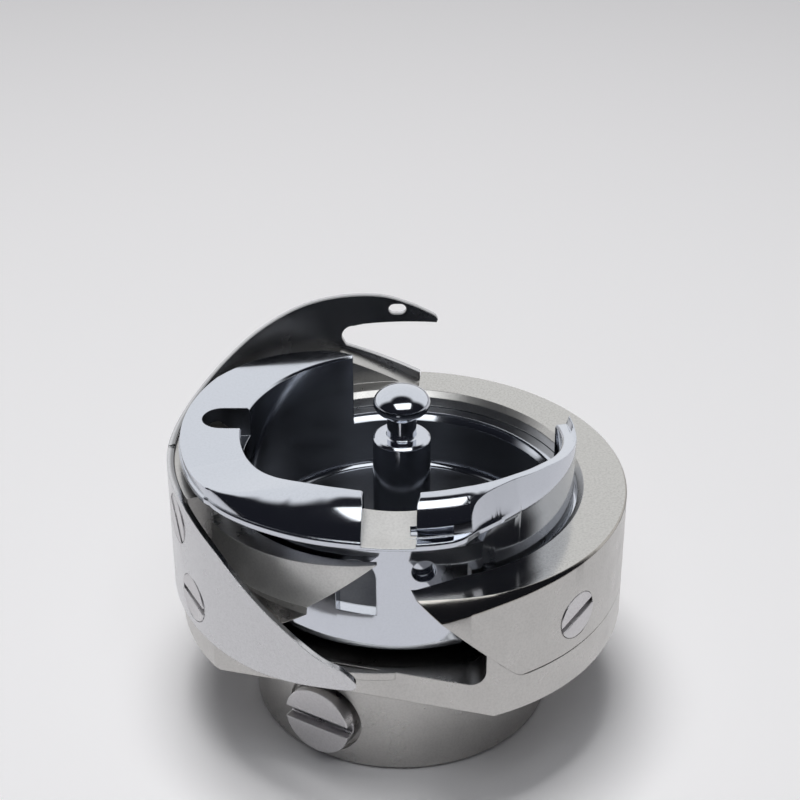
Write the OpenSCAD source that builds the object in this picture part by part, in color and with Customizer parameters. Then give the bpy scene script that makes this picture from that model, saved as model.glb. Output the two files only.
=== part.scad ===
// Rotary sewing hook with its bobbin-case holder, millimetres.
// The hub stands on z = 0 and the shaft axis is +Z. Azimuths run counter-clockwise from +X,
// and the needle opening faces -Y. Heights named "level" are measured from the gib's top face.

/* [Drum] */
// Outer diameter of the drum and of the gib
drum_d = 39.2; // [38:0.1:42]
// Height of the drum, from its underside to the gib's top face
drum_h = 12.1; // [11.6:0.1:14]
// Height of the left rim above the gib's top face
rim_rise = 3; // [2.4:0.1:3]
// Radial thickness of the left rim above the race
rim_wall = 2.2; // [1.8:0.1:2.6]
// Level of the cavity's floor below the gib's top face
cavity_depth = 9.4; // [9.2:0.1:9.8]
// Distance of the flat under the needle opening from the axis
flat_reach = 15.2; // [14.8:0.1:16]
// Height of the opening's sill above the cavity floor
sill_lip = 0.1; // [0.05:0.05:0.4]

/* [Hub] */
// Outer diameter of the hub
hub_d = 26.6; // [25:0.1:28]
// Height of the hub below the drum
hub_h = 9.6; // [9:0.1:12]
// Diameter of the hook shaft's bore
bore_d = 7.94; // [7.2:0.01:8]

/* [Race] */
// Depth of the race behind its lip, along the radius
race_depth = 0.8; // [0.6:0.05:1]
// Width of the ledge that the gib rests on, outside the race
ledge_w = 1.35; // [1.1:0.05:1.6]
// Gap between the lip and the holder's wall
lip_gap = 0.35; // [0.3:0.05:0.5]
// Level of the race's upper face below the gib's top face
race_top = 1.4; // [1.2:0.1:1.6]
// Height of the race
race_h = 1.9; // [1.6:0.1:2.1]
// Running clearance between the rib and the race, on each face
race_gap = 0.05; // [0.03:0.01:0.1]

/* [Gib] */
// Thickness of the gib outside the seat wall that it is screwed to
gib_wall = 2.1; // [1.8:0.05:2.4]
// Height of the gib
gib_h = 8.5; // [8:0.1:8.6]
// Azimuth of the gib's rear end
gib_rear_az = 84.5; // [80:0.5:88]
// Azimuth about which the gib's slanted front edge is laid out
gib_front_az = 286; // [284:0.5:288]
// Radius of the rounded lower corner of that edge
gib_corner_r = 2; // [1:0.1:2.4]

/* [Screws] */
// Diameter of the flush heads on the gib and the thread guard
head_d = 4.2; // [3.8:0.1:4.4]
// Thread diameter of those screws
thread_d = 2.5; // [2:0.1:3]
// Height of a gib screw's head
head_h = 1.2; // [0.9:0.1:1.4]
// Clearance round a head in its hole
head_gap = 0.03; // [0.02:0.01:0.1]
// Width of a small screw's slot
slot_w = 0.6; // [0.4:0.1:0.8]
// Head diameter of a hub set screw
set_head_d = 6.4; // [5.6:0.1:6.6]
// Height of a set screw's head
set_head_h = 2; // [1.6:0.1:2.2]
// Thread diameter of a set screw
set_thread_d = 3.5; // [3:0.1:4]
// Height of the set screws above the hub's end
set_z = 4.5; // [4.3:0.1:5]
// Width of a set screw's slot
set_slot_w = 1.1; // [0.8:0.1:1.4]

/* [Thread guard] */
// Thickness of the guard plate
guard_t = 0.6; // [0.5:0.05:0.8]
// Clearance between the plate and the drum
guard_gap = 0.02; // [0.01:0.01:0.05]
// Level of the horn's highest edge above the gib's top face
horn_rise = 8.24; // [7:0.1:9]
// Level of the plate's lower edge below the gib's top face
guard_drop = 8.6; // [8:0.1:9]

/* [Beak] */
// Level of the beak's point above the gib's top face
point_rise = 1.5; // [1:0.1:1.6]
// Distance of the beak's point to the left of the axis
point_x = 2; // [1:0.1:3]

/* [Holder] */
// Thickness of the cup's wall
cup_wall = 1.2; // [1:0.1:1.4]
// Level of the cup's underside below the gib's top face
cup_depth = 8.2; // [7.6:0.1:8.4]
// Thickness of the cup's floor
cup_floor = 1.2; // [1:0.1:1.6]
// Level of the crescent's top face above the gib's top face
crescent_rise = 5; // [4.9:0.1:5.6]
// Thickness of the crescent
crescent_t = 0.6; // [0.5:0.1:0.8]
// Thickness of the flange under the crescent
flange_t = 0.9; // [0.6:0.1:0.9]
// How far the crescent's outer edge stays inside the drum's wall
crescent_inset = 0.5; // [0.4:0.05:0.8]
// Level of the front rim's top beside the notch
front_rise = 7.2; // [7:0.1:7.6]
// Width of the positioning notch
notch_w = 4.3; // [4:0.1:5]
// Width of the slot in the crescent
keyhole_w = 3.5; // [3:0.1:4]
// Width of the round-topped thread window in the cup's front
thread_window_w = 3.4; // [3:0.1:3.8]
// Level of that window's top above the gib's top face
thread_window_top = 1.2; // [0.6:0.1:1.4]
// Width of the crescent that is left outside that slot
keyhole_rim = 1.75; // [1.4:0.05:2.2]

/* [Stud] */
// Diameter of the centre stud
stud_d = 5.02; // [4.9:0.01:5.1]
// Level of the stud's shoulder above the gib's top face
shoulder_rise = 4.3; // [4:0.1:4.6]
// Diameter of the neck under the head
neck_d = 2.55; // [2.3:0.05:2.8]
// Diameter of the mushroom head
knob_d = 4.9; // [4.6:0.1:5]
// Level of the head's top above the gib's top face
knob_rise = 8.9; // [8.6:0.1:9.2]
// Diameter of the riveted spigot
spigot_d = 3; // [2.6:0.1:3.4]

/* [Oiling] */
// Diameter of the plug in the cavity's floor
plug_d = 9.2; // [8.8:0.1:10]
// Thickness of the plug
plug_h = 2; // [1.6:0.1:2]
// Diameter of the oil duct and its felt wick
wick_d = 1.2; // [1:0.1:1.4]

/* [Hidden] */
$fn = 96;

far = 40;                         // reach of a cutting shape beyond the part
over = 5;                         // how far a cut runs past a face
rim_z = hub_h + drum_h;           // the gib's top face above the hub's end
drum_r = drum_d / 2;
seat_r = drum_r - gib_wall;
race_r = seat_r - ledge_w;
lip_r = race_r - race_depth;
cup_r = lip_r - lip_gap;          // outside of the holder's cup
crescent_r = drum_r - crescent_inset;
keyhole_reach = crescent_r - keyhole_rim;
wide = drum_r / 19.6;             // stretches the outlines below, drawn for a 39.2 drum
hub_r = hub_d / 2;
edge_break = 0.3;                 // chamfer on turned outer edges
race_floor = race_top + race_h;   // the race's lower face below the gib's top face
ledge = race_floor + 0.02;        // the gib rests on this ledge, just under the race's floor
lip_break = 0.5;                  // chamfer on the lip's upper edge
sill_level = sill_lip - cavity_depth;
rim_end_az = 205.2;               // front end of the left rim
wall_end_az = 216;                // front end of the full wall behind the guard
flat_az = 255;                    // direction that the flat faces
window_right = 6.85 * wide;       // right side of the needle opening, along X
window_corner_r = 1.6;
beak_slope = 0.846;               // rise over run of the beak's lower edge
beak_end_x = -12.4 * wide;        // where that edge meets the opening's left corner
beak_fall = 1.2;                  // how much lower the beak's top edge is at its root
ramp_start_x = -5.9 * wide;       // top of the left rim's rear ramp
ramp_end_x = 1.95 * wide;
ramp_foot = 0.26 - race_top;      // level of the ramp's foot

gib_screws = [317.9, 18, 70];     // azimuths, front to rear
gib_screw_level = -5.24;
gib_slots = [18, -35, 60];        // how far each slot is turned from the level
guard_screws = [[201, 0.4, -50], [209.5, -5.8, -5]];   // azimuth, level, slot angle
set_screws = [239, 149];
set_seat_r = hub_r - 1;           // the flat bottom of a set screw's recess
set_recess_d = set_head_d + 0.8;
set_tip_gap = 0.25;               // how far a set screw's tip is from the bore's wall

guard_r = drum_r + guard_gap;
guard_out = guard_r + guard_t;

cup_in = cup_r - cup_wall;
rib_r = race_r - race_gap;
rib_from = 300;                   // the rib is left out across the needle opening
rib_to = 604;
rim_low = -1.6;                   // level of the cup's edge where it has no rim
rim_from = 109;                   // azimuths between which the holder has its rim
rim_to = 372;
flange_level = crescent_rise - crescent_t;
rim_foot_r = cup_r + 1.4;         // foot of the front rim's slanted face
rim_crest_r = cup_r - 0.4;
notch_az = 266.4;
wick_az = 30;
wick_tilt = 23;
wick_start = [bore_d / 2 - 0.37, 7.8];   // radius and height where the duct leaves the bore

// the crescent's and the flange's outer edges: azimuth, and reach beyond the cup's wall
crescent_reach = crescent_r - cup_r;
crescent_edge = [[rim_from, -0.7], [113, 0.3], [124, 1.9], [133, 2.9], [143, 3.7],
                 [155, crescent_reach], [203, crescent_reach], [211, 3.95], [217.5, 3],
                 [223, 1.75], [228, 0.4]];
flange_edge = [[rim_from, -0.6], [113, 0.4], [124, 2], [133, 3], [143, 3.75],
               [155, crescent_reach], [210, crescent_reach], [221, 3.8], [236, 3.1],
               [251, 2.5], [262, 2.25], [280, 2.2], [286, 2], [292.5, 1.1], [300, 0.6],
               [309, 0.2], [320, 0.05], [rim_to, 0.05]];

function polar(r, a) = [r * cos(a), r * sin(a)];
function between(a, b, t) = a + (b - a) * t;
function arc(c, r, a0, a1, n = 10) = [for (i = [0:n]) c + polar(r, between(a0, a1, i / n))];

// Catmull-Rom curve through a list of points, n steps to a span
function curve_point(a, b, c, d, t) =
    0.5 * (2 * b + (c - a) * t + (2 * a - 5 * b + 4 * c - d) * t * t
           + (3 * b - a - 3 * c + d) * t * t * t);
function smooth(p, n = 4) = concat(
    [for (i = [0:len(p) - 2]) for (k = [0:n - 1])
        curve_point(p[max(i - 1, 0)], p[i], p[i + 1], p[min(i + 2, len(p) - 1)], k / n)],
    [p[len(p) - 1]]);

// an edge list as points, and the same closed round the low wall's side
function edge_points(edge) = [for (p = smooth(edge)) polar(cup_r + p[1], p[0])];
function stretched(points) = [for (p = points) [p[0] * wide, p[1]]];
function rim_outline(edge) = concat(
    edge_points(edge),
    arc([0, 0], cup_r + 1, rim_to + 1, 359 + rim_from, 24));

// ring of rectangular section between two azimuths
module ring_sector(r_in, r_out, low, high, from, to) {
    rotate([0, 0, from]) rotate_extrude(angle = to - from)
        translate([r_in, low]) square([r_out - r_in, high - low]);
}

// child's +Z points outwards from the axis, its +Y along the azimuth
module radial(az, level) {
    rotate([0, 0, az]) translate([0, 0, level]) rotate([0, 90, 0]) children();
}

// child drawn in X and Z, carried along Y from y0 to y1
module along_y(y0, y1) {
    translate([0, y1, 0]) rotate([90, 0, 0]) linear_extrude(y1 - y0) children();
}

// child drawn in radius and height, w thick across the azimuth
module radial_plate(az, w) {
    rotate([0, 0, az]) rotate([90, 0, 0]) linear_extrude(w, center = true) children();
}

// everything in front of and below the gib's slanted edge
module gib_front_side() {
    foot = -gib_h;
    start = [-4.4 * wide, 0.4];
    corner_t = start[0] + start[1] - foot;
    turn = gib_corner_r * tan(22.5);
    centre = [corner_t + turn, foot + gib_corner_r];
    rotate([0, 0, gib_front_az]) rotate([90, 0, 90]) linear_extrude(far)
        polygon(concat([[-far, far], [start[0] + start[1] - far, far]],
                       arc(centre, gib_corner_r, 225, 270, 6),
                       [[corner_t + turn, -far], [-far, -far]]));
}

module small_screw_hole(az, level, seat, tip) {
    radial(az, level) {
        translate([0, 0, tip - over]) cylinder(d = thread_d, h = seat - tip + 2 * over);
        translate([0, 0, seat]) cylinder(d = head_d + 2 * head_gap, h = far);
    }
}

module small_screw(az, level, slot, face, head, tip) {
    slot_depth = min(0.5, head * 0.6);
    radial(az, level) difference() {
        union() {
            translate([0, 0, face - head]) cylinder(d = head_d, h = head);
            translate([0, 0, tip]) cylinder(d = thread_d, h = face - head - tip);
        }
        translate([0, 0, face]) rotate([0, 0, slot])
            cube([slot_w, 2 * head_d, 2 * slot_depth], center = true);
    }
}

module set_screw(az) {
    face = set_seat_r + set_head_h;
    tip = bore_d / 2 + set_tip_gap;
    radial(az, set_z) difference() {
        union() {
            translate([0, 0, set_seat_r]) cylinder(d = set_head_d, h = set_head_h);
            translate([0, 0, tip]) cylinder(d = set_thread_d, h = set_seat_r - tip);
        }
        translate([0, 0, face]) cube([set_slot_w, 2 * set_head_d, 1.8], center = true);
    }
}

// the turned blank: hub, floor, wall, lip and left rim in one section
module body_blank() {
    floor_z = -cavity_depth;
    translate([0, 0, rim_z]) rotate_extrude() polygon(concat(
        [[0, -rim_z], [hub_r - edge_break, -rim_z], [hub_r, edge_break - rim_z],
         [hub_r, -drum_h - 0.8], [hub_r + 0.8, -drum_h],
         [drum_r - edge_break, -drum_h], [drum_r, edge_break - drum_h],
         [drum_r, rim_rise - 0.15], [drum_r - 0.15, rim_rise],
         [drum_r - rim_wall, rim_rise], [drum_r - rim_wall, 0],
         [lip_r + lip_break, 0], [lip_r, -lip_break]],
        arc([lip_r - 0.8, floor_z + 0.8], 0.8, 0, -90, 6),
        [[0, floor_z]]));
}

// the needle opening, drawn as it is seen from the front
module window_cut() {
    point = [-point_x, point_rise];
    turn_z = point[1] + (beak_end_x - point[0]) * beak_slope;
    corner = [window_right - window_corner_r, sill_level + window_corner_r];
    translate([0, 0, rim_z]) along_y(-far, -8)
        polygon(concat([[-point_x, far], point, [beak_end_x, turn_z],
                        [beak_end_x + 0.6, sill_level]],
                       arc(corner, window_corner_r, -90, 0, 8),
                       [[window_right, far]]));
}

module beak() {
    root_r = 15.75 * wide;
    shift = 2.1 * wide;
    top_z = point_rise + 0.05;
    translate([0, 0, rim_z]) difference() {
        intersection() {
            ring_sector(lip_r + 0.03, drum_r, sill_level - 0.7, top_z, 203, 268);
            translate([-shift, 0, -far]) cylinder(r = root_r, h = 2 * far);
        }
        along_y(-far, 0)
            polygon([[1, top_z], [-point_x, point_rise],
                     [-17 * wide, point_rise - beak_fall], [-17 * wide, far], [1, far]]);
    }
}

module hook_body() {
    color([0.74, 0.73, 0.71]) difference() {
        union() {
            difference() {
                body_blank();
                translate([0, 0, rim_z]) {
                    // pocket for the gib, ledge under the rib, and the open front
                    difference() {
                        ring_sector(seat_r, drum_r + 3, -gib_h, over, 272,
                                    360 + gib_rear_az);
                        gib_front_side();
                    }
                    ring_sector(10, drum_r + 4, -ledge, over + 1, rim_end_az,
                                360 + gib_rear_az - 0.05);
                    ring_sector(seat_r, drum_r + 2, -gib_h, over + 2, wall_end_az, 273);
                    along_y(0, far)
                        polygon([[ramp_end_x, ramp_foot],
                                 [ramp_start_x, rim_rise], [ramp_start_x, far],
                                 [ramp_end_x, far]]);
                }
                // flat under the opening, and its taller right end beside the gib
                rotate([0, 0, flat_az]) translate([flat_reach, -far, hub_h - over])
                    cube([far, 2 * far, over + drum_h - gib_h]);
                rotate([0, 0, flat_az]) translate([flat_reach, 0, hub_h - over])
                    cube([far, far, over + drum_h - ledge]);
            }
            beak();
        }
        window_cut();
        translate([0, 0, rim_z])
            ring_sector(lip_r - 2, race_r, -race_floor, -race_top, 80, 274);
        translate([0, 0, -over]) cylinder(d = bore_d, h = rim_z);
        translate([0, 0, rim_z - cavity_depth - plug_h - 0.2]) cylinder(d = plug_d, h = over);
        wick_duct(wick_d, 14);
        for (az = set_screws) radial(az, set_z) {
            cylinder(d = set_thread_d, h = far);
            translate([0, 0, set_seat_r]) cylinder(d = set_recess_d, h = far);
        }
        for (az = gib_screws) radial(az, rim_z + gib_screw_level)
            translate([0, 0, lip_r - 1]) cylinder(d = thread_d, h = far);
        for (s = guard_screws) radial(s[0], rim_z + s[1])
            translate([0, 0, lip_r - 1]) cylinder(d = thread_d, h = far);
    }
}

module gib() {
    slope = 16.7;                 // tilt of the shaved outer edge near the tip
    shave_r = 17.2 * wide;
    color([0.76, 0.76, 0.77]) translate([0, 0, rim_z]) difference() {
        rotate([0, 0, 268]) rotate_extrude(angle = 92 + gib_rear_az - 0.1)
            polygon([[lip_r + lip_break, 0], [drum_r - 0.12, 0], [drum_r, -0.12],
                     [drum_r, -gib_h], [seat_r, -gib_h], [seat_r, -ledge],
                     [race_r, -ledge], [race_r, -race_top], [lip_r, -race_top],
                     [lip_r, -lip_break]]);
        gib_front_side();
        // inner side of the tip, drawn from above
        translate([0, 0, -far]) linear_extrude(2 * far)
            polygon([for (p = [[-2, -17.3], [1.2, -16.95], [5.9, -14.6], [5.9, -8], [-2, -8]])
                     p * wide]);
        // shaved outer edge, fading out round the front
        rotate([0, 0, 281]) translate([shave_r, 0, 0]) rotate([0, slope, 0])
            translate([-far, -far, 0]) cube([2 * far, 2 * far, far]);
        for (az = gib_screws)
            small_screw_hole(az, gib_screw_level, drum_r - head_h, seat_r);
    }
}

module gib_screw(i) {
    color([0.68, 0.68, 0.68]) translate([0, 0, rim_z])
        small_screw(gib_screws[i], gib_screw_level, gib_slots[i], drum_r, head_h,
                    lip_r + 0.1);
}

module guard_screw(i) {
    s = guard_screws[i];
    tip = i == 0 ? drum_r - rim_wall + 0.1 : lip_r + 0.1;
    color([0.68, 0.68, 0.68]) translate([0, 0, rim_z])
        small_screw(s[0], s[1], s[2], guard_out, guard_t, tip);
}

// keeps what lies inside a closed outline in X and Z, on one side of the axis
module trim_along_y(outline, y0, y1) {
    along_y(y0, y1) difference() {
        square(2 * far, center = true);
        polygon(outline);
    }
}

// the plate is a rolled strip, cut to its outline as seen from the rear and the front
module thread_guard() {
    tall = horn_rise / 8.24;      // stretches the horn's levels
    side = -22;                   // beyond the plate's leftmost line
    horn_top = smooth([[3.45, 5.65 * tall], [3.1, 6.05 * tall], [2.2, 6.5 * tall], [0.8, 7.1 * tall],
                       [-2, 7.97 * tall], [-5.8, horn_rise], [-9.5, 7.94 * tall],
                       [-13.2, 6.79 * tall], [-16, 5.4], [-18.3, 4.1], [-19.7, 3.35],
                       [-20.5, 3.12]]);
    gap = concat([[-5.3, 3.1]], arc([-4.75, 4.15 * tall], 0.95 * tall, 200, 80, 8),
                 [[-3.6, 5.2 * tall], [3.35, 5.35 * tall]]);
    foot = [[side, -guard_drop], [-12, -guard_drop], [-8.5, -guard_drop + 0.15],
            [1.2, -5.7], [1.75, -5.2], [1.8, -0.2]];
    tail_top = smooth([[-20.5, 3.12], [-18.5, 3.06], [-17.4, 2.6], [-16.2, 1.95],
                       [-14.8, 1], [-12.15, -1.25], [-9.6, -3.2], [-6.5, -5.35],
                       [-4.9, -6], [-3.95, -6.75], [-3.65, -7.3], [-3.9, -7.75],
                       [-4.7, -7.9], [-6.6, -8.05], [-9, -8.3],
                       [-12, -guard_drop + 0.05], [-15, -guard_drop]]);
    color([0.75, 0.75, 0.78]) translate([0, 0, rim_z]) difference() {
        ring_sector(guard_r, guard_out, -guard_drop - 1, horn_rise + 1, 78, 262);
        trim_along_y(stretched(concat(foot, gap, horn_top, [[side, 3.12]])), 0, far);
        trim_along_y(stretched(concat([[side, 3.12]], tail_top, [[side, -guard_drop]])),
                     -far, 0);
        // small oval hole in the horn
        along_y(5, far) polygon(concat(arc([-0.1, 6.6 * tall], 0.55, -90, 90, 10),
                                       arc([-0.7, 6.6 * tall], 0.55, 90, 270, 10)));
        for (s = guard_screws)
            radial(s[0], s[1]) cylinder(d = head_d + 2 * head_gap, h = far);
    }
}

module oil_plug() {
    top = rim_z - cavity_depth - 0.2;
    color([0.66, 0.66, 0.66]) difference() {
        translate([0, 0, top - plug_h]) cylinder(d = plug_d, h = plug_h);
        translate([0, 0, top - plug_h - 1]) cylinder(d = 1.6, h = plug_h + 2);
        translate([0, 0, top]) cube([2 * plug_d, 1, 1.4], center = true);
    }
}

module wick_duct(d, length) {
    rotate([0, 0, wick_az]) translate([wick_start[0], 0, wick_start[1]])
        rotate([0, 90 - wick_tilt, 0]) cylinder(d = d, h = length);
}

module oil_wick() {
    color([0.85, 0.82, 0.72]) rotate([0, 0, wick_az])
        translate([wick_start[0], 0, wick_start[1]]) rotate([0, 90 - wick_tilt, 0])
            translate([0, 0, 0.9]) cylinder(d = wick_d, h = 9.2);
}

// cup, wall, flange and slanted front rim, turned in one section
module holder_blank() {
    bend = 1.5;
    cove = 0.8;
    low = -cup_depth;
    floor_z = low + cup_floor;
    flange_low = flange_level - flange_t;
    difference() {
        rotate_extrude() polygon(concat(
            [[0, low]], arc([cup_r - bend, low + bend], bend, -90, 0, 8),
            [[cup_r, flange_low - 1.5], [cup_r + 1.6, flange_low],
             [crescent_r + 1, flange_low], [crescent_r + 1, flange_level],
             [rim_foot_r, flange_level], [rim_crest_r + 0.3, front_rise - 0.5],
             [rim_crest_r, front_rise], [cup_in + 0.1, front_rise],
             [cup_in, front_rise - 0.1]],
            arc([cup_in - cove, floor_z + cove], cove, 0, -90, 6),
            [[0, floor_z]]));
        // the flange's outline
        translate([0, 0, 1]) linear_extrude(far) difference() {
            circle(r = crescent_r + 5);
            polygon(rim_outline(flange_edge));
        }
    }
}

module bobbin_case_holder() {
    keyhole_y = 1.65;
    mouth = keyhole_reach - keyhole_w / 2;
    color([0.80, 0.82, 0.85]) translate([0, 0, rim_z]) difference() {
        union() {
            holder_blank();
            translate([0, 0, flange_level - 0.1]) linear_extrude(crescent_t + 0.1)
                polygon(concat(edge_points(crescent_edge),
                               arc([0, 0], cup_in + 0.4, 228, rim_from, 36)));
            ring_sector(cup_in + 0.4, rib_r, race_gap - race_floor, -race_top - race_gap,
                        rib_from, rib_to);
        }
        // low wall at the rear right, with its bevelled inner edge
        ring_sector(cup_in - 1, crescent_r + 3, rim_low, far, rim_to, 360 + rim_from);
        rotate([0, 0, rim_to - 2]) rotate_extrude(angle = 364 + rim_from - rim_to)
            polygon([[cup_in - 1, rim_low + 0.6], [cup_in - 1, rim_low - 1.8],
                     [cup_in + 1, rim_low + 0.6]]);
        // the front rim climbs from the crescent to the notch, drawn in Y and height
        rotate([90, 0, -90]) linear_extrude(far)
            polygon(concat(stretched(smooth([[-4, crescent_rise + 0.02],
                                             [2.5, crescent_rise + 0.02],
                                             [5.5, crescent_rise + 0.1], [9.6, 6],
                                             [12.2, front_rise - 0.2],
                                             [13.6, front_rise + 0.02]])),
                           [[far, front_rise + 0.1], [far, far], [-far, far],
                            [-far, crescent_rise + 0.02]]));
        // and falls from the notch to the point at the rear right
        rotate([90, 0, 90]) linear_extrude(far)
            polygon(concat([[-far, front_rise + 0.1]],
                           stretched(smooth([[-16, front_rise + 0.1],
                                             [-13.9, front_rise + 0.02],
                                             [-12.3, front_rise - 0.2], [-10.4, 6.7],
                                             [-8.1, 6.2], [-5.3, 5.4], [-2.6, 4.8],
                                             [0, 4.25], [3, 3.6]])),
                           [[far, 3.6], [far, far], [-far, far]]));
        // positioning notch, its floor falling outwards
        radial_plate(notch_az, notch_w)
            polygon([[cup_in - 2, 6.1], [far, 6.1 - (far - cup_in + 2) * 0.38],
                     [far, far], [cup_in - 2, far]]);
        // undercut beside the notch
        ring_sector(15.2, far, flange_level + 0.1, flange_level + 0.8, notch_az + 6, 284.5);
        // slot through the crescent
        translate([0, keyhole_y, 2.2]) linear_extrude(far)
            polygon(concat(arc([-mouth, 0], keyhole_w / 2, 270, 90, 16),
                           [[1 - cup_in, keyhole_w / 2], [1 - cup_in, -keyhole_w / 2]]));
        // thread window and sight hole in the cup's front
        radial(255.5, 0) translate([0, 0, cup_in - 2]) linear_extrude(over)
            polygon(concat(arc([thread_window_w / 2 - thread_window_top, 0],
                               thread_window_w / 2, 90, 270, 16),
                           [[4, -thread_window_w / 2], [4, thread_window_w / 2]]));
        radial(276.8, 0.3) translate([0, 0, cup_r - 0.9]) cylinder(d = 2, h = over);
        translate([0, 0, -cup_depth - over])
            cylinder(d = spigot_d, h = over + cup_floor + 1);
    }
}

module centre_stud() {
    floor_z = cup_floor - cup_depth;
    girth = 7.5;                  // level of the head's widest line
    dome = knob_rise - girth;
    color([0.82, 0.84, 0.87]) translate([0, 0, rim_z]) rotate_extrude() polygon(concat(
        [[0, -cup_depth], [spigot_d / 2, -cup_depth], [spigot_d / 2, floor_z],
         [stud_d / 2, floor_z], [stud_d / 2, shoulder_rise - 0.25],
         [stud_d / 2 - 0.25, shoulder_rise], [neck_d / 2, shoulder_rise],
         [neck_d / 2, girth - 1.1], [knob_d / 2 - 0.2, girth - 0.15]],
        [for (i = [0:11]) [knob_d / 2 * cos(i * 7.5), girth + dome * sin(i * 7.5)]],
        [[0, knob_rise]]));
}

hook_body();
gib();
gib_screw(0);  // gib_screw_front
gib_screw(1);  // gib_screw_side
gib_screw(2);  // gib_screw_rear
thread_guard();
guard_screw(0);  // guard_screw_upper
guard_screw(1);  // guard_screw_lower
color([0.7, 0.7, 0.68]) set_screw(set_screws[0]);  // set_screw_front
color([0.7, 0.7, 0.68]) set_screw(set_screws[1]);  // set_screw_rear
oil_plug();
oil_wick();
bobbin_case_holder();
centre_stud();
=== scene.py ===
# %% [markdown]
# # A rotary sewing hook in polished and satin steel
#
# The hook is a turned steel cup, cut open at the front for the needle. A gib and a thread guard
# are screwed to its rim, and a bright holder for the bobbin case turns freely inside it. The
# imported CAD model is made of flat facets. Shading alone could smooth them, but polished metal
# shows every facet in its reflections. So this file makes each skin that shows again, as a fine
# grid in the same place, and gives it a metal finish. All outlines are in millimetres, and a
# mesh is scaled to metres as its last step.

# %% load the frame
import math
import bmesh
import bpy
import numpy as np
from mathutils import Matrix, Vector


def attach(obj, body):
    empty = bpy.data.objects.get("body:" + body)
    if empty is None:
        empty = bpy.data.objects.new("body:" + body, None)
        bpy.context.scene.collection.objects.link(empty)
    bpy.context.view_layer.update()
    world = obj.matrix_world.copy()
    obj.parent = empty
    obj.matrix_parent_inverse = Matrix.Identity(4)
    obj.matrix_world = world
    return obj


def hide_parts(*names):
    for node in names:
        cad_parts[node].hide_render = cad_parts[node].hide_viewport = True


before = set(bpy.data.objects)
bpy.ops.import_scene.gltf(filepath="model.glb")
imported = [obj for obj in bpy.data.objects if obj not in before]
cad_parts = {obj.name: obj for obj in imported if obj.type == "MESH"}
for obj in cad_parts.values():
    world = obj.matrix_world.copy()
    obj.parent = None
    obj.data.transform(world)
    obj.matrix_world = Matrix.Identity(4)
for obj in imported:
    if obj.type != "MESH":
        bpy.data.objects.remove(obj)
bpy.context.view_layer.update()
MM = 0.001
print("CAD nodes:", len(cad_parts))

# %% [markdown]
# Nearly everything here is turned about one axis, so the driving sizes are radii and heights.
# Heights could be counted from the hub's end, but a fitter would lay a gauge on the gib's flat
# top, so a `level` is counted from there, upwards.

# %% driving sizes, in millimetres
HUB_H = 9.6
DRUM_H = 12.1
TOP = HUB_H + DRUM_H          # the gib's top face above the hub's end
DRUM_R = 19.6
HUB_R = 13.3
BORE_R = 3.97
LIP_R = 15.35                 # the drum's inner edge, above and below the race
RACE_R = 16.15                # the groove that the holder's rib runs in
RACE_TOP, RACE_FLOOR, LEDGE = -1.4, -3.3, -3.32
SEAT_R = 17.5                 # the wall that the gib's skirt fits round
RIM_IN_R = 17.4               # the tall left rim, which stands above the gib's top
RIM_RISE = 3.0
CAVITY_FLOOR = -9.4
SILL = -9.3                   # the lower edge of the needle opening
GIB_H = 8.5
GUARD_R, PLATE = DRUM_R + 0.02, 0.6
GUARD_OUT = GUARD_R + PLATE
CUP_IN, CUP_R = 13.8, 15.0    # the holder's cup, inside and outside
FAR = 40.0                    # past everything, for cutters
FULL = 360.0
print("drum", 2 * DRUM_R, "mm across, its flat top", TOP, "mm above the hub's end")

# %% [markdown]
# A rim or a plate's outline is a smooth line through a few points. A Bezier curve needs two
# handles for each point. A Catmull-Rom curve needs none, so it is used here: each span between
# points p1 and p2 is a cubic whose end slopes follow the neighbours p0 and p3.


# %% lines and arcs
def curve(points, steps=8):
    """Catmull-Rom: p(t) = (2 p1 + (p2-p0) t + (2p0-5p1+4p2-p3) t^2 + (3p1-p0-3p2+p3) t^3) / 2."""
    p = np.asarray(points, float)
    p = np.vstack([p[:1], p, p[-1:]])
    t = np.linspace(0, 1, steps, endpoint=False)[:, None, None]
    a, b, c, d = p[:-3], p[1:-2], p[2:-1], p[3:]
    spans = (2 * b + (c - a) * t + (2 * a - 5 * b + 4 * c - d) * t**2
             + (3 * b - a - 3 * c + d) * t**3) / 2
    return np.vstack([spans.transpose(1, 0, 2).reshape(-1, p.shape[1]), p[-1:]])


def along(table, x):
    """The smooth line through a table of (x, value) rows, read at every x of an array."""
    line = curve(table, 12)
    return np.interp(x, line[:, 0], line[:, 1])


def arc(cx, cy, r, a0, a1, n=8):
    """n + 1 points on a circle of radius r about (cx, cy), from angle a0 to a1 in degrees."""
    a = np.radians(np.linspace(a0, a1, n + 1))
    return np.column_stack([cx + r * np.cos(a), cy + r * np.sin(a)])


def path(*parts):
    """Joins points and rows of points into one outline."""
    return np.vstack([np.atleast_2d(np.asarray(p, float)) for p in parts])


def directions(az):
    """Unit vectors out, (cos a, sin a, 0), and sideways, (-sin a, cos a, 0), at azimuth az."""
    a = math.radians(az)
    return np.array([math.cos(a), math.sin(a), 0]), np.array([-math.sin(a), math.cos(a), 0])


# %% [markdown]
# Two ways of making a solid cover every piece. A *swept* solid carries a closed section of
# radius and height round the axis, and the section may change with the azimuth. A *prism*
# pushes a flat outline along a straight line, as a milling cutter would travel. Blender's Screw
# and Solidify modifiers do much the same, but they can't change the section on the way. So both
# are grids of points worked out as whole arrays, with quads between neighbours and flat ends.


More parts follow.
